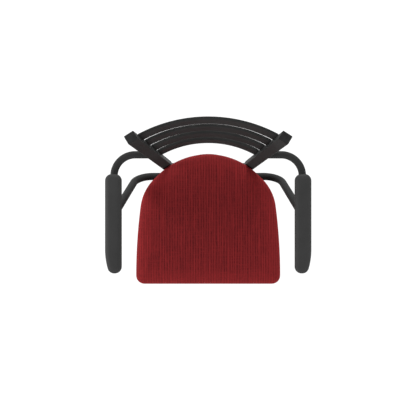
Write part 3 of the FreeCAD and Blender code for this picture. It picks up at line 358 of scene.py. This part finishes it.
def seatWeave():  # red cloth: fine ribs from front to back, uneven in depth, with cross threads, a soft nap and a painted highlight on the rolled edge
    finish = Finish("seatWeave", Roughness=0.9, Specular_IOR_Level=weave["specular"], Sheen_Weight=weave["nap"],
                    Sheen_Roughness=weave["napSpread"], Sheen_Tint=weave["napTint"])
    cloth = finish.node("ShaderNodeAttribute", attribute_name="clothPlace").outputs["Vector"]
    across, along, paintedRimAmount = finish.node("ShaderNodeSeparateXYZ", {0: cloth}).outputs
    drift = finish.noise(finish.place((1, 0.04, 0), source=cloth), weave["wanderScale"], 2.0)
    wander = finish.math("MULTIPLY", drift, weave["ribWander"])
    phase = finish.math("MULTIPLY_ADD", across, 2 * math.pi * weave["ribs"], wander)
    rib = finish.span(finish.math("SINE", phase), -1.0, 0.5)
    streak = finish.noise(finish.place((1, 0.05, 0), source=cloth), weave["streakScale"], 1.0, 0.5)
    slub = finish.noise(finish.place((1, 0.3, 0), source=cloth), weave["slubScale"], 2.0, 0.6)
    cross = finish.noise(finish.place((0.05, 1, 0), source=cloth), weave["crossScale"], 2.0, 0.6)
    warp = finish.math("SINE", finish.math("MULTIPLY", across, math.pi * weave["threads"]))
    weft = finish.math("SINE", finish.math("MULTIPLY", along, math.pi * weave["threads"]))
    over = finish.math("MULTIPLY", warp, weft)
    furrow = finish.span(rib, 0.0, 1.0, weave["ribDepth"], 0.0)
    depth = finish.math("MULTIPLY", furrow, finish.span(slub, 0.35, 0.65, 1.0, 0.35))
    paintedRimMix = finish.math("MULTIPLY", paintedRimAmount, weave["paintedRimShare"])  # painted highlight: paler on the rolled edge, standing in for the sheen and side light on the rim
    colour = finish.mix(finish.span(streak, 0.30, 0.70), weave["mid"], weave["bright"])
    colour = finish.mix(depth, colour, weave["deep"])
    colour = finish.mix(finish.span(cross, 0.50, 0.70, 0.0, weave["crossShare"]), colour, weave["bright"])
    colour = finish.mix(finish.span(over, -1.0, 0.0, weave["threadShare"], 0.0), colour, weave["deep"])
    # painted highlight on the rolled edge
    colour = finish.mix(paintedRimMix, colour, weave["paintedRimLight"])
    height = finish.math("ADD", over, finish.math("MULTIPLY", rib, weave["ribHeight"]))
    return finish.feed(Base_Color=colour, Normal=finish.bump(height, *weave["bump"]))


# the frame's own pieces take the finish of their material slot
finishes = {
    "frame_paint": powderCoat(),
    "black_nylon": blackNylon(),
    "zinc_steel": zincPlate(),
    "ball_steel": bearingSteel(),
    "plywood": plywood(),
    "dust_cloth": dustCloth(),
    "seat_fabric": seatWeave(),
    "arm_pad_skin": padSkin(),
}
for part in frame["record"]["subparts"]:
    worn = nodes[part["node"]].data.materials
    worn.clear()
    worn.append(finishes[part["material_slot"]])
print("frame dressed:", len(finishes), "finishes")


# seat cushion: foam under cloth that is pulled over the edge of the board
patchStart = 0.875  # share of an outline where the first side of its patch begins
seat = {
    "width": 0.463, "front": -0.2467, "rear": 0.1698, "rearRadius": 0.227, "rearSweep": 44.0,
    "shoulderRadius": 0.150, "sideRadius": 1.735, "cornerRadius": 0.027, "arcSteps": (120, 90, 120, 60),
    "foot": 0.703, "widestRise": 0.032, "rollRise": 0.056, "rollInset": 0.034, "rollTurn": 80.0,
    "drawIn": 0.008, "boardInset": 0.0127, "boardRise": 0.0123, "lipSag": 0.0004, "crown": 0.003,
    "sidePoints": 84, "rollRows": 12, "wallRows": 8, "depthSteps": 4000, "depthBatches": 40,
    # the second reach is how far the painted rim highlight spreads over the crown
    "holdReach": 0.045, "paintedRimReach": 0.014, "pleatDepth": 0.0007, "pleatTurn": 0.9,
}


def arcPoints(centre, radius, start, end, count):  # centre plus radius times (cos, sin) of an even sweep
    sweep = np.linspace(start, end, count)
    return np.stack([centre[0] + radius * np.cos(sweep), centre[1] + radius * np.sin(sweep)], axis=1)


def towards(start, end):
    return math.atan2(end[1] - start[1], end[0] - start[0])


def seatOutline():  # rear arc and its tangent, shoulder, side arc, front corner, then the mirror image
    half = seat["width"] / 2
    rearCentre = np.array([0, seat["rear"] - seat["rearRadius"]])
    sideCentre = np.array([half - seat["sideRadius"], seat["front"] + seat["cornerRadius"]])
    sweep = math.radians(seat["rearSweep"])
    outwards = np.array([math.sin(sweep), math.cos(sweep)])
    onwards = np.array([math.cos(sweep), -math.sin(sweep)])
    first = rearCentre + outwards * (seat["rearRadius"] - seat["shoulderRadius"])
    away = first - sideCentre
    reach = (seat["sideRadius"] - seat["shoulderRadius"]) ** 2 - away @ away + (away @ onwards) ** 2
    shoulder = first + onwards * (math.sqrt(reach) - away @ onwards)
    rearEnd = math.pi / 2 - sweep
    sideStart = towards(sideCentre, shoulder)
    corner = np.array([half - seat["cornerRadius"], seat["front"] + seat["cornerRadius"]])
    rearSteps, shoulderSteps, sideSteps, cornerSteps = seat["arcSteps"]
    right = np.concatenate([
        arcPoints(rearCentre, seat["rearRadius"], math.pi / 2, rearEnd, rearSteps),
        arcPoints(shoulder, seat["shoulderRadius"], rearEnd, sideStart, shoulderSteps),
        arcPoints(sideCentre, seat["sideRadius"], sideStart, 0, sideSteps)[1:],
        arcPoints(corner, seat["cornerRadius"], 0, -math.pi / 2, cornerSteps)[1:],
        np.array([[0, seat["front"]]]),
    ])
    left = right[-2:0:-1] * [-1, 1]
    return np.concatenate([right, left])


def evenly(points, count, start=0.0):  # the closed line walked again in equal steps, from a share of its length
    closed = np.concatenate([points, points[:1]])
    lengths = np.concatenate([[0], np.cumsum(np.linalg.norm(np.diff(closed, axis=0), axis=1))])
    steps = (start + np.arange(count) / count) % 1.0 * lengths[-1]
    return np.stack([np.interp(steps, lengths, closed[:, 0]), np.interp(steps, lengths, closed[:, 1])], axis=1)


def outward(points):  # the outline turns clockwise, so its outside is on the left of each step
    step = np.roll(points, -1, axis=0) - np.roll(points, 1, axis=0)
    normal = np.stack([-step[:, 1], step[:, 0]], axis=1)
    return normal / np.linalg.norm(normal, axis=1, keepdims=True)


def fillLoop(loop, count):  # Coons patch: four equal sides of a closed loop blended across the inside
    share = np.linspace(0, 1, count + 1)
    closed = np.concatenate([loop, loop[:1]])
    top = closed[:count + 1]
    right = closed[count:2 * count + 1]
    bottom = closed[2 * count:3 * count + 1][::-1]
    left = closed[3 * count:4 * count + 1][::-1]
    s = share[None, :, None]
    t = share[:, None, None]
    between = (1 - t) * top[None] + t * bottom[None] + (1 - s) * left[:, None] + s * right[:, None]
    corners = (1 - t) * ((1 - s) * top[0] + s * top[-1]) + t * ((1 - s) * bottom[0] + s * bottom[-1])
    return between - corners


def patchIndex(count, ring, first):  # point numbers of a patch whose border is a ring that exists already
    index = np.empty((count + 1, count + 1), int)
    index[0, :] = ring[:count + 1]
    index[:, -1] = ring[count:2 * count + 1]
    index[-1, :] = ring[2 * count:3 * count + 1][::-1]
    index[:, 0] = np.append(ring[3 * count:], ring[0])[::-1]
    index[1:-1, 1:-1] = first + np.arange((count - 1) ** 2).reshape(count - 1, count - 1)
    return index


def cushionProfile():  # inset and rise: quarter ellipse of the roll, sine of the wall, lip round the board
    turn = np.radians(np.linspace(seat["rollTurn"], 0, seat["rollRows"]))
    rise = seat["widestRise"] + (seat["rollRise"] - seat["widestRise"]) * np.sin(turn)
    roll = np.stack([seat["rollInset"] * (1 - np.cos(turn)), rise], axis=1)
    share = np.linspace(1, 0, seat["wallRows"] + 1)[1:]
    wall = np.stack([seat["drawIn"] * (1 - np.sin(share * np.pi / 2)), seat["widestRise"] * share], axis=1)
    middle = (seat["drawIn"] + seat["boardInset"]) / 2
    inner, top = seat["boardInset"], seat["boardRise"]
    lip = np.array([[middle, -seat["lipSag"]], [inner, 0.0], [inner, top / 2], [inner, top]])
    return np.concatenate([roll, wall, lip])


def depthInside(points, outline):  # smooth distance: cube root of half pi over the sum of step / distance^4
    fine = evenly(outline, seat["depthSteps"])
    step = np.linalg.norm(np.roll(fine, -1, axis=0) - fine, axis=1)
    pull = []
    for batch in np.array_split(points, seat["depthBatches"]):
        away = ((batch[:, None] - fine[None]) ** 2).sum(axis=2)
        pull.append((step / away ** 2).sum(axis=1))
    return np.cbrt(math.pi / 2 / np.concatenate(pull))


def shell(outline, inset, rise, crown):  # rings inset from the outline, closed by a patch above and one below
    count = len(outline) // 4
    normal = outward(outline)
    rings = outline[None] - normal[None] * inset[..., None]
    heights = np.broadcast_to(rise[:, None], rings.shape[:2])
    wall = np.concatenate([rings, heights[..., None]], axis=2)
    slope = (rise[0] - rise[1]) / (inset[0, 0] - inset[1, 0])
    top = fillLoop(rings[0], count)[1:-1, 1:-1].reshape(-1, 2)
    level = 1 - np.exp(-depthInside(top, rings[0]) * slope / crown)  # starts at the roll's slope and levels off
    crest = rise[0] + crown * level
    top = np.concatenate([top, crest[:, None]], axis=1)
    under = fillLoop(rings[-1], count)[1:-1, 1:-1].reshape(-1, 2)
    under = np.concatenate([under, np.full((len(under), 1), rise[-1])], axis=1)
    rows = len(rise)
    ring = np.arange(4 * count)
    topIndex = patchIndex(count, ring, rows * 4 * count)
    underIndex = patchIndex(count, (rows - 1) * 4 * count + ring, rows * 4 * count + len(top))
    faces = np.concatenate([quadsOf(topIndex)[:, ::-1], ringFaces(rows, 4 * count), quadsOf(underIndex)])
    return wall, top, under, faces


def gathers(normal, rise):  # pleats at the front corners: a cosine along the edge, deeper towards the foot
    corner = np.clip(-4 * normal[:, 1] * np.abs(normal[:, 0]) - 1, 0, 1)
    pleats = corner * np.cos(np.arange(len(normal)) * seat["pleatTurn"])
    return seat["pleatDepth"] * pleats[None] * np.clip(1 - rise / seat["widestRise"], 0, 1)[:, None]


def buildCushion():  # the shell of the profile carried round the outline, with its cloth laid flat beside it
    outline = evenly(seatOutline(), 4 * seat["sidePoints"], patchStart)
    normal = outward(outline)
    profile = cushionProfile()
    inset = profile[:, :1] + gathers(normal, profile[:, 1])
    wall, top, under, faces = shell(outline, inset, seat["foot"] + profile[:, 1], seat["crown"])
    points = np.concatenate([wall.reshape(-1, 3), top, under])
    depth = depthInside(top[:, :2], wall[0, :, :2])
    onTop = slice(wall.size // 3, wall.size // 3 + len(top))
    held = np.ones(len(points))  # 1 where the simulation may not move the cloth
    held[onTop] = np.exp(-(depth / seat["holdReach"]) ** 2)
    walked = np.concatenate([[0], np.cumsum(np.linalg.norm(np.diff(profile, axis=0), axis=1))])
    laidFlat = wall[0, :, :2][None] + normal[None] * walked[:, None, None]  # the cloth unrolled past the roll
    cloth = np.concatenate([laidFlat.reshape(-1, 2), top[:, :2], under[:, :2]])
    paintedRimLight = np.ones((len(points), 1))  # share of the painted highlight on the rolled edge, standing in for its sheen and side light: 1 on the roll, less over the crown
    paintedRimLight[onTop, 0] = np.exp(-(depth / seat["paintedRimReach"]) ** 2)
    return points, faces, np.concatenate([cloth, paintedRimLight], axis=1), held


def relax(points, faces, share, rounds):  # each point moves by a share of the way to the mean of its neighbours
    pairs = np.concatenate([faces[:, [0, 1]], faces[:, [1, 2]], faces[:, [2, 3]], faces[:, [3, 0]]])
    pairs = np.concatenate([pairs, pairs[:, ::-1]])
    near = np.bincount(pairs[:, 0], minlength=len(points))[:, None]
    for _ in range(rounds):
        total = [np.bincount(pairs[:, 0], points[pairs[:, 1], axis], len(points)) for axis in range(3)]
        points = points + share * (np.stack(total, axis=1) / near - points)
    return points


swell = {"pressure": 4.0, "frames": 20, "cap": 0.005, "evenShare": 0.5, "evenRounds": 25, "mass": 0.3,
         "stiffness": 12.0, "bending": 2.0}


def swellCushion(piece, faces, held):  # cloth under pressure: the roll is held in place and the crown swells
    start = readPoints(piece.data)
    pins = piece.vertex_groups.new(name="held")
    pinned = np.round(held, 2)
    for weight in np.unique(pinned):
        pins.add(np.flatnonzero(pinned == weight).tolist(), float(weight), "REPLACE")
    cloth = piece.modifiers.new("Swell", "CLOTH")
    cloth.settings.vertex_group_mass = pins.name
    cloth.settings.mass = swell["mass"]
    cloth.settings.use_pressure = True
    cloth.settings.uniform_pressure_force = swell["pressure"]
    cloth.settings.tension_stiffness = swell["stiffness"]
    cloth.settings.compression_stiffness = swell["stiffness"]
    cloth.settings.bending_stiffness = swell["bending"]
    cloth.settings.effector_weights.gravity = 0
    cloth.point_cache.frame_start = 1
    cloth.point_cache.frame_end = swell["frames"]
    for step in range(1, swell["frames"] + 1):
        scene.frame_set(step)
    swollen = piece.evaluated_get(bpy.context.evaluated_depsgraph_get()).to_mesh()
    moved = readPoints(swollen) - start
    piece.modifiers.remove(cloth)
    piece.vertex_groups.clear()
    scene.frame_set(1)
    moved = relax(moved, faces, swell["evenShare"], swell["evenRounds"])
    length = np.linalg.norm(moved, axis=1, keepdims=True)
    kept = moved * swell["cap"] * np.tanh(length / swell["cap"]) / np.maximum(length, 1e-9)
    writePoints(piece.data, start + kept * (1 - held[:, None]))
    print("cushion swelled by up to", round(float(length.max()) * 1000, 1), "mm, kept", swell["cap"] * 1000)


cushionPoints, cushionFaces, cushionCloth, cushionHeld = buildCushion()
cushion = newPiece("seat_cushion_cover", cushionPoints, cushionFaces)
swellCushion(cushion, cushionFaces, cushionHeld)
addVectors(cushion.data, "clothPlace", cushionCloth)
subdivide(cushion)
cushion.data.materials.append(finishes["seat_fabric"])
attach(cushion, "seat")
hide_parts("seat_cushion")
print("cushion made:", len(cushionFaces), "faces")

# arm pads: moulded skin over foam, with a channel below for the tube
armPad = {
    "half": 0.0245, "length": 0.291, "rearCorner": 0.020, "frontCorner": 0.020, "straight": 0.220,
    "taperRadius": 0.210, "cornerSteps": 40, "taperSteps": 60, "drawIn": 0.005, "widestRise": 0.014,
    "rollRise": 0.0293, "rollInset": 0.0125, "rollTurn": 78.0, "crown": 0.0012, "lip": 0.0015,
    "sidePoints": 56, "rollRows": 9, "wallRows": 6, "channelRadius": 0.0115, "channelFront": 0.2705,
    "channelOverrun": 0.02, "channelSteps": 64, "sharpAngle": 40.0,
}


def padOutline():  # rear corners, the outer side with its taper, the nose and the heel, about the tube's line
    half = armPad["half"]
    back = armPad["rearCorner"]
    tip = armPad["frontCorner"]
    taper = np.array([half - armPad["taperRadius"], -armPad["straight"]])
    noseY = tip - armPad["length"]
    noseX = taper[0] + math.sqrt((armPad["taperRadius"] - tip) ** 2 - (taper[1] - noseY) ** 2)
    bend = towards(taper, (noseX, noseY))
    steps = armPad["cornerSteps"]
    return np.concatenate([
        [[0, 0]],
        arcPoints((half - back, -back), back, math.pi / 2, 0, steps),
        arcPoints(taper, armPad["taperRadius"], 0, bend, armPad["taperSteps"]),
        arcPoints((noseX, noseY), tip, bend, -math.pi / 2, steps),
        arcPoints((tip - half, noseY), tip, -math.pi / 2, -math.pi, steps),
        arcPoints((back - half, -back), back, math.pi, math.pi / 2, steps),
    ])


def padProfile():  # inset and rise: quarter ellipse of the roll, sine of the wall, small lip at the underside
    turn = np.radians(np.linspace(armPad["rollTurn"], 0, armPad["rollRows"]))
    rise = armPad["widestRise"] + (armPad["rollRise"] - armPad["widestRise"]) * np.sin(turn)
    roll = np.stack([armPad["rollInset"] * (1 - np.cos(turn)), rise], axis=1)
    share = np.linspace(1, 0, armPad["wallRows"] + 1)[1:-1]
    wall = np.stack([armPad["drawIn"] * (1 - np.sin(share * np.pi / 2)), armPad["widestRise"] * share], axis=1)
    inner, lip = armPad["drawIn"], armPad["lip"]
    foot = [[inner, lip], [inner + lip / 3, lip / 3], [inner + lip, 0]]
    return np.concatenate([roll, wall, foot])


def channelCutter(x, rear, height):  # a rod along the tube's line: one circle carried past the pad's rear end
    steps, radius = armPad["channelSteps"], armPad["channelRadius"]
    turn = np.linspace(0, 2 * np.pi, steps, endpoint=False)
    ring = np.stack([x + radius * np.cos(turn), 0 * turn, height + radius * np.sin(turn)], axis=1)
    front, back = rear - armPad["channelFront"], rear + armPad["channelOverrun"]
    ends = np.concatenate([ring + [0, front, 0], ring + [0, back, 0]])
    caps = [list(range(steps)), list(range(2 * steps - 1, steps - 1, -1))]
    return newPiece("channel_rod", ends, [*ringFaces(2, steps)[:, ::-1].tolist(), *caps])


def makeArmPad(side, sign):  # the profile carried round the outline, mirrored by sign and cut by the rod
    name = "arm_pad_" + side
    spots = readPoints(nodes[name].data)
    low, high = spots.min(axis=0), spots.max(axis=0)
    profile = padProfile()
    outline = evenly(padOutline(), 4 * armPad["sidePoints"], patchStart)
    inset = np.broadcast_to(profile[:, :1], (len(profile), len(outline)))
    wall, top, under, faces = shell(outline, inset, profile[:, 1], armPad["crown"])
    points = np.concatenate([wall.reshape(-1, 3), top, under])
    middle = (low[0] + high[0]) / 2
    points = points * [sign, 1, 1] + [middle, high[1], low[2]]
    pad = newPiece(name + "_skin", points, faces[:, ::sign])
    rod = channelCutter(middle, high[1], low[2])
    cutting = pad.modifiers.new("Channel", "BOOLEAN")
    cutting.operation = "DIFFERENCE"
    cutting.solver = "EXACT"
    cutting.object = rod
    carved = bpy.data.meshes.new_from_object(pad.evaluated_get(bpy.context.evaluated_depsgraph_get()))
    pad.modifiers.clear()
    pad.data = carved
    carved.set_sharp_from_angle(angle=math.radians(armPad["sharpAngle"]))
    bpy.data.objects.remove(rod)
    carved.materials.clear()
    carved.materials.append(finishes["arm_pad_skin"])
    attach(pad, "seat")
    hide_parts(name)


for side, sign in (("right", 1), ("left", -1)):
    makeArmPad(side, sign)
print("arm pads made")


# below the seat: the cloth's turned-under edge and the staples along the dust cover
hem = {"steps": 360, "inset": (0.0078, 0.0078, 0.0214, 0.0214), "drop": (0.0001, 0.0008, 0.0008, 0.0001)}


def makeHem():  # four rings inset from the seat's outline and dropped below it, joined into a closed flat band
    outline = evenly(seatOutline(), hem["steps"])
    rings = outline[None] - outward(outline)[None] * np.array(hem["inset"])[:, None, None]
    height = np.broadcast_to(seat["foot"] - np.array(hem["drop"])[:, None], rings.shape[:2])
    points = np.concatenate([rings, height[..., None]], axis=2).reshape(-1, 3)
    first = np.arange(hem["steps"])
    last = 3 * hem["steps"] + first
    closing = np.stack([last, np.roll(last, -1), np.roll(first, -1), first], axis=1)
    faces = np.concatenate([ringFaces(4, hem["steps"]), closing])
    edge = newPiece("seat_cover_hem", points, faces, smooth=False)
    addVectors(edge.data, "clothPlace", points * [1, 1, 0])
    edge.data.materials.append(finishes["seat_fabric"])
    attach(edge, "seat")


staple = {"count": 38, "inset": 0.0245, "long": 0.010, "wide": 0.0011, "thick": 0.0006, "spokeRoom": 0.024,
          "coverDrop": 0.001, "spokes": ("front_left", "front_right", "rear_left", "rear_right")}


def clearOfSpokes(spots):  # true where a spot lies further than the room from the line of every spoke
    middles = [readPoints(nodes["seat_spoke_" + name].data)[:, :2].mean(axis=0) for name in staple["spokes"]]
    heads = np.array([middle / np.linalg.norm(middle) for middle in middles])
    aside = np.abs(spots[:, :1] * heads[:, 1] - spots[:, 1:] * heads[:, 0])
    return ~np.any((spots @ heads.T > 0) & (aside < staple["spokeRoom"]), axis=1)


def makeStaples():  # thin blocks: a centre plus half a length along the outline and half a width across it
    outline = evenly(seatOutline(), staple["count"], 0.5 / staple["count"])
    normal = outward(outline)
    spots = outline - normal * staple["inset"]
    clear = clearOfSpokes(spots)
    along = np.stack([normal[:, 1], -normal[:, 0]], axis=1)[clear, None] * staple["long"] / 2
    across = normal[clear, None] * staple["wide"] / 2
    corners = np.array([[-1, -1], [1, -1], [1, 1], [-1, 1]])
    flat = spots[clear, None] + along * corners[None, :, :1] + across * corners[None, :, 1:]
    top = seat["foot"] - staple["coverDrop"]
    levels = [np.full((*flat.shape[:2], 1), height) for height in (top, top - staple["thick"])]
    points = np.stack([np.concatenate([flat, level], axis=2) for level in levels], axis=1).reshape(-1, 3)
    block = np.array([[0, 1, 2, 3], [7, 6, 5, 4], [4, 5, 1, 0], [5, 6, 2, 1], [6, 7, 3, 2], [7, 4, 0, 3]])
    faces = (block[None] + 8 * np.arange(len(flat))[:, None, None]).reshape(-1, 4)
    staples = newPiece("seat_cover_staples", points, faces, smooth=False)
    staples.data.materials.append(finishes["zinc_steel"])
    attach(staples, "seat")
    print("staples:", len(flat))


makeHem()
makeStaples()
